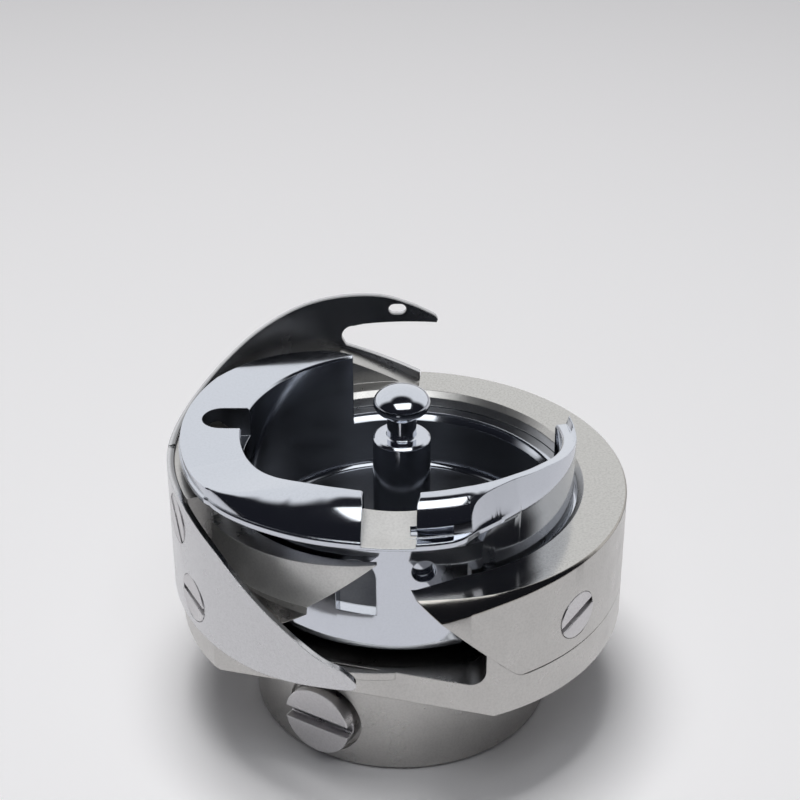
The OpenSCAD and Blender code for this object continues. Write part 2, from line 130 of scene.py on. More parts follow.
# %% grids to meshes
def grid_faces(rings, count, closed, first=0):
    """Quads between neighbouring rings, the last point of each ring joined to its first."""
    i = np.arange(rings if closed else rings - 1)[:, None]
    j = np.arange(count)[None, :]
    i2, j2 = (i + 1) % rings, (j + 1) % count
    quads = np.stack([i * count + j, i * count + j2, i2 * count + j2, i2 * count + j], -1)
    return (quads.reshape(-1, 4) + first).tolist()


def grid_mesh(name, points, closed):
    """Rings of points, shape (rings, count, 3): quads join neighbours, and ends are capped."""
    rings, count = points.shape[:2]
    faces = grid_faces(rings, count, closed)
    if not closed:
        faces += [list(range(count)), list(range((rings - 1) * count, rings * count))]
    return solid(name, points.reshape(-1, 3), faces)


def solid(name, points, faces):
    """One object from points and faces, with doubled points merged and normals outwards."""
    mesh = bpy.data.meshes.new(name)
    mesh.from_pydata(points.tolist(), [], faces)
    bm = bmesh.new()
    bm.from_mesh(mesh)
    bmesh.ops.remove_doubles(bm, verts=bm.verts, dist=1e-5)
    bmesh.ops.dissolve_degenerate(bm, edges=bm.edges, dist=1e-5)
    bmesh.ops.recalc_face_normals(bm, faces=bm.faces)
    bm.to_mesh(mesh)
    bm.free()
    obj = bpy.data.objects.new(name, mesh)
    bpy.context.scene.collection.objects.link(obj)
    return obj


def swept(name, section, start=0.0, end=FULL, step=0.75):
    """x = r cos(a), y = r sin(a), z = level + TOP, for each azimuth a from start to end.

    section is one (r, level) outline, or a function of the azimuths that returns one outline
    for each, shape (azimuths, count, 2)."""
    closed = end - start >= FULL
    n = int(round((end - start) / step))
    az = start + (end - start) * np.arange(n + (not closed)) / n
    outlines = section(az) if callable(section) else everywhere(section, az)
    return grid_mesh(name, round_the_axis(az, outlines), closed)


def everywhere(outline, az):
    """The same outline at every azimuth, shape (azimuths, count, 2)."""
    return np.repeat(path(outline)[None], len(az), 0)


def round_the_axis(az, outlines):
    """Each azimuth's (r, level) outline put in its place, shape (azimuths, count, 3)."""
    a = np.radians(az)[:, None]
    r, level = outlines[..., 0], outlines[..., 1]
    return np.stack([r * np.cos(a), r * np.sin(a), level + TOP], -1)


def box_ring(name, r0, r1, low, high, start, end, step=0.75):
    """A swept rectangle, from radius r0 to r1 and from level low to high."""
    return swept(name, [(r0, low), (r1, low), (r1, high), (r0, high)], start, end, step)


def prism(name, outline, origin, across, up, length):
    """Every outline point (u, v) at origin + u across + v up, pushed along across x up."""
    across, up = np.asarray(across, float), np.asarray(up, float)
    flat = np.asarray(origin, float) + path(outline) @ np.vstack([across, up])
    push = np.cross(across, up) * length
    return grid_mesh(name, np.stack([flat, flat + push]), False)


def seen_from_front(name, outline, near, depth=FAR):
    """A prism drawn in X and level, starting at y = near and running to y = near - depth."""
    return prism(name, outline, (0, near, TOP), (1, 0, 0), (0, 0, 1), depth)


def facing_out(name, outline, az, r0, r1, level=0.0):
    """A prism drawn sideways and upwards from level, running outwards at az from r0 to r1."""
    out, side = directions(az)
    return prism(name, outline, out * r0 + [0, 0, TOP + level], side, (0, 0, 1), r1 - r0)


def rod(name, r, az, level, r0, r1, n=48):
    """A round bar of radius r along the direction of azimuth az, from radius r0 to r1."""
    return facing_out(name, arc(0, 0, r, 0, FULL, n)[:-1], az, r0, r1, level)


# %% [markdown]
# On the real hook an opening is one pass of a cutter. It could be left out of the grid, but a
# slanted cut doesn't follow the grid's lines. So each cut is a Boolean modifier, applied at once
# so that the next step sees the cut mesh.


# %% cutting and joining
def apply_modifiers(obj):
    """Puts the mesh that the modifiers give in place of the object's own."""
    graph = bpy.context.evaluated_depsgraph_get()
    baked = bpy.data.meshes.new_from_object(obj.evaluated_get(graph))
    obj.modifiers.clear()
    obj.data = baked


def combine(obj, operation, tools):
    """Applies one exact Boolean for each tool, then deletes the tools."""
    for tool in tools:
        step = obj.modifiers.new(operation, "BOOLEAN")
        step.object, step.operation, step.solver = tool, operation, "EXACT"
        apply_modifiers(obj)
        bpy.data.objects.remove(tool)
    return obj


def cut(obj, *tools):
    """Takes every tool's space away from the object."""
    return combine(obj, "DIFFERENCE", tools)


def join(obj, *tools):
    """Makes the object and the tools one solid."""
    return combine(obj, "UNION", tools)


def keep(obj, tool):
    """Leaves only what lies inside the tool."""
    return combine(obj, "INTERSECT", [tool])


# %% [markdown]
# A fitter deburrs each piece before it is used. `finish` does the same: it merges and dissolves
# the slivers that the cutters left, marks every edge over 28 degrees as a real edge and smooths
# the rest, then hands the piece to the CAD body that carries it. Small turned pieces also get a
# modelled round on their edges. On the large ones a Bevel modifier would trip over the thin
# slivers, so there the material rounds the edges.


# %% finishing a piece
REAL_EDGE = math.radians(28)


def finish(obj, body, material, node, edge=0.0):
    """Cleans, scales and shades a piece that stands for a node; edge is its round, in mm."""
    bm = bmesh.new()
    bm.from_mesh(obj.data)
    bmesh.ops.remove_doubles(bm, verts=bm.verts, dist=3e-4)
    bmesh.ops.dissolve_limit(bm, angle_limit=math.radians(0.1), verts=bm.verts, edges=bm.edges)
    bmesh.ops.scale(bm, vec=(MM, MM, MM), verts=bm.verts)
    bm.to_mesh(obj.data)
    bm.free()
    obj.data.polygons.foreach_set("use_smooth", [True] * len(obj.data.polygons))
    obj.data.set_sharp_from_angle(angle=REAL_EDGE)
    if edge:
        bevel = obj.modifiers.new("eased_edges", "BEVEL")
        bevel.width, bevel.segments = edge * MM, 2
        bevel.limit_method, bevel.angle_limit = "ANGLE", REAL_EDGE
    weigh = obj.modifiers.new("flat_flats", "WEIGHTED_NORMAL")
    weigh.keep_sharp, weigh.weight = True, 60
    obj.data.materials.clear()
    obj.data.materials.append(material)
    obj.data.polygons.foreach_set("material_index", [0] * len(obj.data.polygons))
    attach(obj, body)
    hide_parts(node)
    print(obj.name, len(obj.data.polygons), "faces")


def faces_out(normal, at):
    """Whether each face looks away from the axis: its normal and its place point alike."""
    return (normal[:, :2] * at[:, :2]).sum(1) > 0


def second_finish(obj, material, wanted):
    """Gives another material to the faces for which wanted(normals, centres in mm) holds."""
    count = len(obj.data.polygons)
    normals, centres = np.empty(count * 3, np.float32), np.empty(count * 3, np.float32)
    obj.data.polygons.foreach_get("normal", normals)
    obj.data.polygons.foreach_get("center", centres)
    chosen = wanted(normals.reshape(-1, 3), centres.reshape(-1, 3) / MM)
    slots = np.empty(count, np.int32)
    obj.data.polygons.foreach_get("material_index", slots)
    obj.data.materials.append(material)
    slots[chosen] = len(obj.data.materials) - 1
    obj.data.polygons.foreach_set("material_index", slots)
    print(obj.name, int(chosen.sum()), "faces in", material.name)


# %% [markdown]
# ## Finishes
#
# All the metal is steel, and what differs is how it was finished. Ground and plated faces keep
# fine scratches that spread a highlight, and polished ones are near mirrors with a faint
# waviness. An image could hold the scratches, but it would stretch over the curved skins. Noise
# worked out from Object coordinates has the same grain everywhere: noise squeezed along the axis
# gives the turning marks, and a soft, larger noise the waviness. A few short helpers make the
# nodes, so that a material reads as a list of what it is made of.


# %% helpers for nodes
def add(tree, kind, wires=None, **settings):
    """A new node; wires gives some of its inputs a value, or the output that feeds them."""
    made = tree.nodes.new("ShaderNode" + kind)
    for key, setting in settings.items():
        setattr(made, key, setting)
    for socket, value in (wires or {}).items():
        if isinstance(value, bpy.types.NodeSocket):
            tree.links.new(value, made.inputs[socket])
        else:
            made.inputs[socket].default_value = value
    return made


def noise(tree, place, scale, detail):
    """Soft noise from 0 to 1; scale is about how many patches lie along one unit of place."""
    wires = {"Vector": place, "Scale": scale, "Detail": detail}
    return add(tree, "TexNoise", wires).outputs["Fac"]


def spread(tree, value, low, high, to_low=0, to_high=1, how="LINEAR"):
    """Maps a value from low..high to to_low..to_high, held at both ends."""
    wires = {"Value": value, "From Min": low, "From Max": high, "To Min": to_low,
             "To Max": to_high}
    return add(tree, "MapRange", wires, interpolation_type=how).outputs["Result"]


def blend(tree, factor, under, over):
    """The colour under where factor is 0, going over to the other where it is 1."""
    wires = {"Factor": factor, "A": under, "B": over}
    return add(tree, "Mix", wires, data_type="RGBA").outputs["Result"]


def reckon(tree, operation, a, b):
    """What an operation such as MAXIMUM or MULTIPLY makes of two values."""
    return add(tree, "Math", {0: a, 1: b}, operation=operation).outputs["Value"]


def new_material(name):
    """A material with its node tree and its shader."""
    mat = bpy.data.materials.new(name)
    mat.use_nodes = True
    return mat, mat.node_tree, mat.node_tree.nodes["Principled BSDF"]


def times(color, factor):
    """A colour times a factor, with full alpha, ready for a socket."""
    return (*[c * factor for c in color], 1)


# %% [markdown]
# Inside the cup and behind the guard's plate, shade is painted into the steel: its colour is
# darker there. It could be a second material on the inner faces, but the change is gradual. A
# mask that reads the distance from the axis and the height fades the painted shade in, over
# 0.2 mm outwards and 2 mm upwards.

# %% the metal material
PATCHES, GRAIN, WAVES = 420.0, 5200.0, 150.0     # of each noise, to the metre
TURNING = (60, 60, 9000)                         # the same for turning marks, along each axis
EASED_BY = 0.12                                  # the round that shading gives an edge, in mm


def clear_of_painted_shade(tree, place, limit, low, high):
    """1 beyond the radius limit, below level low and above level high, and 0 inside, where
    shade is painted.
    """
    flat = add(tree, "VectorMath", {0: place, 1: (1, 1, 0)}, operation="MULTIPLY")
    radius = add(tree, "VectorMath", {0: flat.outputs["Vector"]}, operation="LENGTH")
    height = add(tree, "SeparateXYZ", {"Vector": place}).outputs["Z"]
    beyond = spread(tree, radius.outputs["Value"], limit * MM, (limit + 0.2) * MM)
    below = spread(tree, height, (TOP + low - 1) * MM, (TOP + low + 1) * MM, 1, 0)
    above = spread(tree, height, (TOP + high - 1) * MM, (TOP + high + 1) * MM)
    return reckon(tree, "MAXIMUM", reckon(tree, "MAXIMUM", beyond, below), above)


def metal(name, color, roughness, grain, wave, turned=0.0, tint=0.05, metallic=1.0, inside=None):
    """Steel with fine grain, turning marks and slow waviness of the given heights in mm.

    inside = (radius, low, high, share) paints shade: it darkens what lies nearer the axis than
    that radius and between those levels to that share of its colour."""
    mat, tree, shader = new_material(name)
    shader.inputs["Metallic"].default_value = metallic
    place = add(tree, "TexCoord").outputs["Object"]
    fine = noise(tree, place, GRAIN, 3.0)
    slow = noise(tree, place, WAVES, 2.0)
    patch = noise(tree, place, PATCHES, 3.0)
    rings = add(tree, "Mapping", {"Vector": place, "Scale": TURNING}).outputs["Vector"]
    marks = noise(tree, rings, 1.0, 3.0)

    paint = blend(tree, spread(tree, fine, 0.3, 0.6), times(color, 1 - 2 * tint), times(color, 1))
    # painted shade: the colour darkens inside the cup and behind the plate
    if inside:
        *limits, share = inside
        paint = blend(tree, clear_of_painted_shade(tree, place, *limits), times(color, share), paint)
    rough = spread(tree, patch, 0.3, 0.7, roughness * 0.85, roughness * 1.2)
    normal = add(tree, "Bevel", {"Radius": EASED_BY * MM}, samples=6).outputs["Normal"]
    for source, height in ((fine, grain), (marks, turned), (slow, wave)):
        if height:
            normal = add(tree, "Bump", {"Strength": 1.0, "Distance": height * MM, "Height": source,
                                        "Normal": normal}).outputs["Normal"]
    for socket, value in (("Base Color", paint), ("Roughness", rough), ("Normal", normal)):
        tree.links.new(value, shader.inputs[socket])
    print("finish:", name)
    return mat


# %% [markdown]
# The body is satin, the guard is cut from rolled plate, and the holder and its stud are polished
# and plated. A piece can show a second finish where one face was worked differently: a ground
# edge, a lapped top and a milled face. Two second materials paint light instead: a near-black
# steel is painted shade, and the pale matte steel of the milled face paints the beak lighter.
# That could be a seam between two objects, but a second material on the same mesh keeps the
# piece whole.

# %% the finishes
satin = metal("satin_nickel", (0.53, 0.52, 0.505), 0.30, grain=0.004, wave=0.01, turned=0.001)
# painted shade on the guard's inner side, above level 2
plate = metal("rolled_plate", (0.60, 0.60, 0.615), 0.24, grain=0.003, wave=0.02,
              inside=(GUARD_R + 0.2, 2.0, 30, 0.45))
# painted shade inside the holder's cup, below level 2.5
bright = metal("polished_plating", (0.61, 0.635, 0.69), 0.10, grain=0.0004, wave=0.005, tint=0.02,
               inside=(CUP_IN + 0.05, -30, 2.5, 0.65))
ground = metal("ground_edge", (0.42, 0.40, 0.37), 0.13, grain=0.002, wave=0.012)
lapped = metal("lapped_face", (0.55, 0.54, 0.52), 0.13, grain=0.002, wave=0.004, tint=0.08)
# pale and half matte: the notch's milled floor, and painted light on the beak's outside
pale_matte_steel = metal("pale_matte_face", (0.82, 0.815, 0.80), 0.40, grain=0.003, wave=0.0, metallic=0.5)
# painted shade: a near-black steel for the cup's floor and the thread slot's sides
painted_shade_steel = metal("painted_shade_face", (0.13, 0.135, 0.15), 0.45, grain=0.002, wave=0.0)
screw_steel = metal("screw_steel", (0.60, 0.59, 0.60), 0.30, grain=0.003, wave=0.01)

# %% [markdown]
# ## The body
#
# The body starts as one turned blank: hub, floor, wall and the tall left rim are a single
# outline carried round the axis. They could be separate rings joined together, but a lathe cuts
# them from one bar, and one outline leaves no seams. It is closed, going out along the
# underside, up the outside, over the rim and back down the inside to the bore.

# %% the turned blank
CHAMFER, FILLET = 0.3, 0.8
PLUG_R, PLUG_H = 4.6, 2.2
BLANK = path(
    (BORE_R, -TOP), (HUB_R - CHAMFER, -TOP), (HUB_R, CHAMFER - TOP), (HUB_R, -DRUM_H - FILLET),
    arc(HUB_R + FILLET, -DRUM_H - FILLET, FILLET, 170, 95, 4), (HUB_R + FILLET, -DRUM_H),
    (DRUM_R - CHAMFER, -DRUM_H), (DRUM_R, CHAMFER - DRUM_H), (DRUM_R, RIM_RISE),
    (RIM_IN_R, RIM_RISE), (RIM_IN_R, 0), (LIP_R + 0.5, 0), (LIP_R, -0.5), (LIP_R, RACE_TOP),
    (RACE_R, RACE_TOP), (RACE_R, RACE_FLOOR), (LIP_R, RACE_FLOOR),
    arc(LIP_R - FILLET, CAVITY_FLOOR + FILLET, FILLET, 0, -90, 5), (PLUG_R, CAVITY_FLOOR),
    (PLUG_R, CAVITY_FLOOR - PLUG_H), (BORE_R, CAVITY_FLOOR - PLUG_H))
hook_body = swept("hook_body_skin", BLANK)
print("blank turned:", len(hook_body.data.polygons), "faces")

# %% [markdown]
# The blank is then milled: a pocket for the gib, a ledge under the race, the open front, and a
# ramp at the rear of the rim. The flat under the opening is one straight pass of a cutter. Each
# could be drawn into the blank's outline at its own azimuths, but cutters in the places where
# the real ones ran leave the same slanted edges.

# %% mill the body
RIM_END, WALL_END = 205.2, 216.0
GIB_FRONT, GIB_REAR = 286.0, 84.5
GIB_CORNER, GIB_SLANT = 2, 4.0
POCKET_FROM, FRONT_TO = 272, 273
RAMP_FOOT, RAMP_TOP = (1.95, -1.137), (-5.9, RIM_RISE)
FLAT_AZ, FLAT_REACH = 255.0, 15.2


def gib_front_side(name):
    """Everything in front of and below the gib's slanted, round-cornered front edge."""
    turn = GIB_CORNER * math.tan(math.radians(22.5))
    foot = GIB_H - GIB_SLANT
    outline = path((-GIB_SLANT - FAR, FAR),
                   arc(foot + turn, GIB_CORNER - GIB_H, GIB_CORNER, 225, 270, 6),
                   (foot + turn, -FAR), (-FAR, -FAR))
    return facing_out(name, outline, GIB_FRONT, 0, FAR)


def flat_cutter(name, low, high, left):
    """A block outside the flat, from level low to high and from left to far right."""
    outline = [(left, low), (FAR, low), (FAR, high), (left, high)]
    return facing_out(name, outline, FLAT_AZ, FLAT_REACH, FLAT_REACH + FAR)


def mill(body):
    """Every pass of the cutter, in turn; each runs a little past the metal it takes away."""
    pocket = box_ring("pocket", SEAT_R, DRUM_R + 3, -GIB_H, 5, POCKET_FROM, FULL + GIB_REAR)
    cut(pocket, gib_front_side("gib_front"))
    ledge = box_ring("ledge", 10, DRUM_R + 4, LEDGE, 6, RIM_END, FULL + GIB_REAR - 0.05)
    front = box_ring("front", SEAT_R, DRUM_R + 2, -GIB_H, 7, WALL_END, FRONT_TO)
    ramp = seen_from_front("ramp", [RAMP_FOOT, RAMP_TOP, (RAMP_TOP[0], FAR),
                                    (RAMP_FOOT[0], FAR)], FAR)
    low_flat = flat_cutter("low_flat", -DRUM_H - 5, -GIB_H, -FAR)
    high_flat = flat_cutter("high_flat", -DRUM_H - 4, LEDGE, 0.03)
    cut(body, pocket, ledge, front, ramp, low_flat, high_flat)


mill(hook_body)
print("body milled:", len(hook_body.data.polygons), "faces")

# %% [markdown]
# The beak is the point that picks up the thread. It is a thin tongue of the wall whose outside
# is ground on a smaller circle set off to one side, so it thins towards its tip. It could be
# shaped point by point, but a piece of wall kept inside that circle has the same even taper. Its
# top falls gently to the root, and its underside is the straight edge of the needle opening.

# %% the beak and the needle opening
POINT = (-2.0, 1.5)
BEAK_R, BEAK_SHIFT, BEAK_SLOPE, BEAK_END = 15.75, -2.1, 0.846, -12.4
BEAK_TOP = POINT[1] + 0.05
BEAK_FROM, BEAK_TO, BEAK_ROOT = 203, 268, (-17, 0.3)
RACE_FROM, RACE_TO = 80, 274
OPENING_SIDE, CORNER_R = 6.85, 1.6
SET_SCREWS, SET_LEVEL, SET_SEAT, SET_HOLE_R = (239.0, 149.0), 4.5 - TOP, HUB_R - 1, 3.6


def beak():
    """A piece of wall inside the circle of radius BEAK_R about x = BEAK_SHIFT."""
    block = box_ring("beak", LIP_R + 0.03, DRUM_R, SILL - 0.7, BEAK_TOP, BEAK_FROM, BEAK_TO)
    keep(block, prism("grind", arc(0, 0, BEAK_R, 0, FULL, 240)[:-1], (BEAK_SHIFT, 0, 0),
                      (1, 0, 0), (0, 1, 0), FAR))
    above = [(1, BEAK_TOP), POINT, BEAK_ROOT, (BEAK_ROOT[0], FAR), (1, FAR)]
    return cut(block, seen_from_front("above", above, 0))


def needle_opening():
    """The opening's outline as seen from the front; its left side is the beak's underside."""
    turn = POINT[1] + (BEAK_END - POINT[0]) * BEAK_SLOPE
    outline = path((POINT[0], FAR), POINT, (BEAK_END, turn), (BEAK_END + 0.6, SILL),
                   arc(OPENING_SIDE - CORNER_R, SILL + CORNER_R, CORNER_R, -90, 0, 8),
                   (OPENING_SIDE, FAR))
    return seen_from_front("needle_opening", outline, -8)


def screw_seat(az):
    """A round pocket for a set screw, out from the hub's side."""
    return rod("seat", SET_HOLE_R, az, SET_LEVEL, SET_SEAT, FAR)


join(hook_body, beak())
race = box_ring("race", LIP_R - 2, RACE_R, RACE_FLOOR, RACE_TOP, RACE_FROM, RACE_TO)
cut(hook_body, needle_opening(), race, *[screw_seat(az) for az in SET_SCREWS])
finish(hook_body, "hook", satin, "hook_body")


def beak_face(normal, at):
    """The beak's ground outside, which lies on its own circle."""
    shifted = np.hypot(at[:, 0] - BEAK_SHIFT, at[:, 1])
    side = faces_out(normal, at) & (np.abs(normal[:, 2]) < 0.2)
    return side & (np.abs(shifted - BEAK_R) < 0.05) & (at[:, 2] > TOP + SILL + 1)


# painted light: the beak's ground outside gets the pale, half-matte steel, so it shows lighter than
# the satin round it
second_finish(hook_body, pale_matte_steel, beak_face)

# %% [markdown]
# ## The gib
#
# The gib closes the race on the right. It is a turned ring section with a slanted front edge.
# Its top outer edge is eased a little, more and more towards the tip: there, where thread slides
# off it, the edge is ground back to a steep, slightly bulging face and left bare. A Bevel
# modifier keeps one width all along, so the easing is part of the section and follows a table.

# %% the gib
GIB_SCREWS = (317.9, 18.0, 70.0)
SCREW_LEVEL = -5.24
HEAD_R, HEAD_PLAY = 2.1, 0.04
GIB_FROM = 268                # the tip, from which the slanted front is cut
# azimuth, then how far the eased edge reaches along the radius and downwards
EASED = [(GIB_FROM, 1.15, 1.75), (279, 1.05, 1.65), (283, 0.9, 1.45), (287.5, 0.74, 1.2),
         (293, 0.55, 0.88), (299, 0.42, 0.66), (308, 0.3, 0.42), (322, 0.2, 0.26),
         (340, 0.16, 0.18), (450, 0.16, 0.18)]


def gib_sections(az):
    """The ring section, whose top outer edge bulges a little from (R - a, 0) to (R, -b)."""
    a, b = [along([(row[0], row[column]) for row in EASED], az)[:, None] for column in (1, 2)]
    t = np.linspace(0, 1, 9)[None, :]
    bulge = 0.22 * t * (1 - t)
    edge = np.stack([DRUM_R - a * (1 - t - bulge), -b * (t - bulge)], -1)
    inner = [(LIP_R + 0.5, 0)]
    rest = [(DRUM_R, -GIB_H + 0.1), (DRUM_R - 0.1, -GIB_H), (SEAT_R, -GIB_H), (SEAT_R, LEDGE),
            (RACE_R, LEDGE), (RACE_R, RACE_TOP), (LIP_R, RACE_TOP), (LIP_R, -0.5)]
    return np.concatenate([everywhere(inner, az), edge, everywhere(rest, az)], 1)[:, ::-1]


gib = swept("gib_skin", gib_sections, GIB_FROM, FULL + GIB_REAR - 0.1, step=0.5)
# the throat thins the tip from inside, to clear the needle
throat = prism("throat", [(-2, -17.3), (1.2, -16.95), (5.9, -14.6), (5.9, -8), (-2, -8)],
               (0, 0, 0), (1, 0, 0), (0, 1, 0), FAR)
cut(gib, gib_front_side("gib_front"), throat)
cut(gib, *[rod("hole", HEAD_R + HEAD_PLAY, az, SCREW_LEVEL, SEAT_R - 1, FAR)
           for az in GIB_SCREWS])
finish(gib, "hook", satin, "gib")


def eased_edge(normal, at):
    """The sloping outer edge of the gib's top, and nothing lower."""
    sloping = (normal[:, 2] > 0.1) & (normal[:, 2] < 0.97)
    outside = np.hypot(at[:, 0], at[:, 1]) > SEAT_R + 0.5
    return faces_out(normal, at) & sloping & outside & (at[:, 2] > TOP - 1.8)


def flat_top(normal, at):
    """The gib's flat top face."""
    return (normal[:, 2] > 0.97) & (at[:, 2] > TOP - 0.1)


second_finish(gib, ground, eased_edge)
second_finish(gib, lapped, flat_top)

# %% [markdown]
# ## The thread guard
#
# The guard is a rolled strip of springy plate that wraps the left side, with a horn standing up
# at the rear and a long tail swept down to the front. A flat sheet could be bent with a Curve
# modifier, but a strip of tube that keeps only its outline, as seen from the rear and from the
# front, has the right round at once and an even thickness.

# %% the thread guard
HORN_TOP = curve([(3.45, 5.65), (3.1, 6.05), (2.2, 6.5), (0.8, 7.1), (-2, 7.97), (-5.8, 8.24),
                  (-9.5, 7.94), (-13.2, 6.79), (-16, 5.4), (-18.3, 4.1), (-19.7, 3.35),
                  (-20.5, 3.12)])
HORN_GAP = path((-5.3, 3.1), arc(-4.75, 4.15, 0.95, 200, 80, 10), (-3.6, 5.2), (3.35, 5.35))
FOOT = path((-22, -8.6), (-12, -8.6), (-8.5, -8.45), (1.2, -5.7), (1.75, -5.2), (1.8, -0.2))
TAIL = curve([(-20.5, 3.12), (-18.5, 3.06), (-17.4, 2.6), (-16.2, 1.95), (-14.8, 1),
              (-12.15, -1.25), (-9.6, -3.2), (-6.5, -5.35), (-4.9, -6), (-3.95, -6.75),
              (-3.65, -7.3), (-3.9, -7.75), (-4.7, -7.9), (-6.6, -8.05), (-9, -8.3),
              (-12, -8.55), (-15, -8.6)])
GUARD_SCREWS = ((201.0, 0.4), (209.5, -5.8))


def half_plate(name, outline, start, end, near):
    """The strip from azimuth start to end, inside an outline drawn in X and level."""
    half = box_ring(name, GUARD_R, GUARD_OUT, -9.6, 9.3, start, end, 0.5)
    return keep(half, seen_from_front("outline", outline, near))


rear_outline = path(FOOT, HORN_GAP, HORN_TOP, (-22, 3.12))
guard = half_plate("thread_guard_skin", rear_outline, 78, 180.0, FAR)
# the halves overlap by a tenth of a degree, because a union of touching faces may fail
join(guard, half_plate("tail", path((-22, 3.12), TAIL, (-22, -8.6)), 179.9, 262, 0.2))
oval = seen_from_front("oval", path(arc(-0.1, 6.6, 0.55, -90, 90), arc(-0.7, 6.6, 0.55, 90, 270)),
                       FAR, FAR - 5)
cut(guard, oval, *[rod("hole", HEAD_R + HEAD_PLAY, az, level, 10, FAR)
                   for az, level in GUARD_SCREWS])
finish(guard, "hook", plate, "thread_guard")

# %% [markdown]
# ## Screws
#
# A slotted screw is a turned head with a saw cut. Copies of one screw could be placed by their
# transforms, but a finished piece has to sit at the origin, so each is made where it belongs. It
# lies along its own azimuth, with the slot left at the angle where the fitter stopped turning.


# %% slotted screws
def slotted(node, az, level, turn, face, head, slot):
    """A head from radius face - height to face, with a slot turned from level; head is (radius,
    height) and slot is (width, depth)."""
    (head_r, head_h), (slot_w, slot_d), t = head, slot, math.radians(turn)
    (out, side), up = directions(az), np.array([0.0, 0.0, 1.0])
    piece = rod(node + "_skin", head_r, az, level, face - head_h, face, 64)
    half_l, half_w = 9, slot_w / 2
    saw = prism("saw", [(-half_l, -half_w), (half_l, -half_w), (half_l, half_w), (-half_l, half_w)],
                out * face + [0, 0, TOP + level] - out * slot_d,
                side * math.cos(t) + up * math.sin(t), up * math.cos(t) - side * math.sin(t), 5)
    cut(piece, saw)
    finish(piece, "hook", screw_steel, node, edge=0.09)


for az, turn, place in zip(GIB_SCREWS, (18.0, -35.0, 60.0), ("front", "side", "rear")):
    slotted("gib_screw_" + place, az, SCREW_LEVEL, turn, DRUM_R, (HEAD_R, 1.2), (0.6, 0.5))
for (az, level), turn, place in zip(GUARD_SCREWS, (-50.0, -5.0), ("upper", "lower")):
    slotted("guard_screw_" + place, az, level, turn, GUARD_OUT, (HEAD_R, 0.6), (0.6, 0.36))
for az, place in zip(SET_SCREWS, ("front", "rear")):
    slotted("set_screw_" + place, az, SET_LEVEL, 0.0, SET_SEAT + 2.0, (3.2, 2.0), (1.1, 0.9))

# %% [markdown]
# ## The bobbin-case holder
#
# The holder is one swept solid whose section changes with the azimuth. On the left a flat
# crescent reaches out over the rim. Towards the front its top narrows and climbs, and its edge
# becomes a polished round that runs down to a thin flange. Past the notch the same rim turns
# into a fin that sinks away to a point at the rear right. Crescent, round and fin could be made
# apart and joined, but the polish runs over all three without a seam, so tables of the rim's
# radii and heights carry one section through them.

# %% tables of the holder's rim: azimuth against radius or level
RIM_FROM, RIM_TO = 109.0, 372.0
FOOT_R = [(262, 16.3), (300, 16.3), (330, 16.0), (RIM_TO, 15.6)]
CREST_R = [(RIM_FROM, 14.2), (113, 15.2), (118, 16.0), (124, 16.8), (133, 17.8), (142.5, 18.55),
           (150, 18.9), (158, 19.0), (205, 19.0), (211, 18.8), (217.6, 18.2), (223, 17.1),
           (229, 15.5), (235, 14.5), (241, 14.1), (262, 14.1), (274, 14.4), (300, 14.4),
           (340, 14.5), (RIM_TO, 14.7)]
FLANGE_R = [(RIM_FROM, 14.35), (113, 15.35), (118, 16.15), (124, 16.95), (133, 17.95),
            (142.5, 18.7), (150, 19.05), (158, 19.14), (207, 19.14), (214, 19.0), (221, 18.8),
            (236, 18.1), (251, 17.5), (262, 17.25), (280, 17.2), (286, 17.0), (292.5, 16.1),
            (300, 15.55), (309, 15.15), (316, 15.04), (RIM_TO, 15.04)]
CREST_Z = [(RIM_FROM, 5.0), (192, 5.0), (202, 5.05), (212, 5.3), (221, 5.75), (229, 6.25),
           (237, 6.7), (246, 7.0), (256, 7.15), (287, 7.18), (295, 7.1), (302, 7.0),
           (310, 6.85), (318, 6.55), (326, 6.2), (339, 5.4), (350, 4.8), (360, 4.25),
           (368, 3.85), (RIM_TO, 3.6)]
ROUND = [(RIM_FROM, 9.0), (203, 9.0), (213, 3.5), (225, 2.0), (286, 2.0), (RIM_TO, 2.0)]
FLANGE_LOW, FLANGE_TOP, LOW_WALL = 3.75, 4.4, -1.6
WEB_R, WEB_DROP = 16.4, 1.4   # where the flange's underside turns down to the cup
FOOT_STEP, FLANGE_EASE = 0.14, 0.1
CUP_BOTTOM, CUP_FLOOR, SPIGOT_R = -8.2, -7.0, 1.5
print("holder's rim from", RIM_FROM, "to", RIM_TO, "degrees, up to level",
      max(level for _, level in CREST_Z))

# %% [markdown]
# The edge from flange to crest could be a bevel of one width, but it is square on the crescent
# and round in front. A superellipse does both: with t up to 90 degrees, its radius runs as
# cos(t)^(2/n) and its height as sin(t)^(2/n). A high n gives the crescent's square edge and 2 a
# plain round. Past the notch a grinding wheel has swept off its foot: the sweep is a straight
# flank that leans inwards, and where it meets the round it leaves an S-shaped crease.


# %% the holder's edge
SWEEP_AZ, LEAN, FLANK_STEPS, ROUND_STEPS = 275.0, 0.25, 5, 14
FOOT_OFF = math.radians(15)


def round_edge(foot, crest, rise, power, share):
    """Radius and height along the round; a plain round starts 15 degrees off upright, so that
    r and h are cos(t)^(2/n) and sin(t)^(2/n) brought back to the foot and the crest."""
    n, start = (2 / power)[:, None], (FOOT_OFF * np.clip((6 - power) / 4, 0, 1))[:, None]
    t = start + (np.pi / 2 - start) * share
    r = np.cos(t) ** n / np.cos(start) ** n
    h = (np.sin(t) ** n - np.sin(start) ** n) / (1 - np.sin(start) ** n)
    return crest[:, None] + (foot - crest)[:, None] * r, rise[:, None] * h


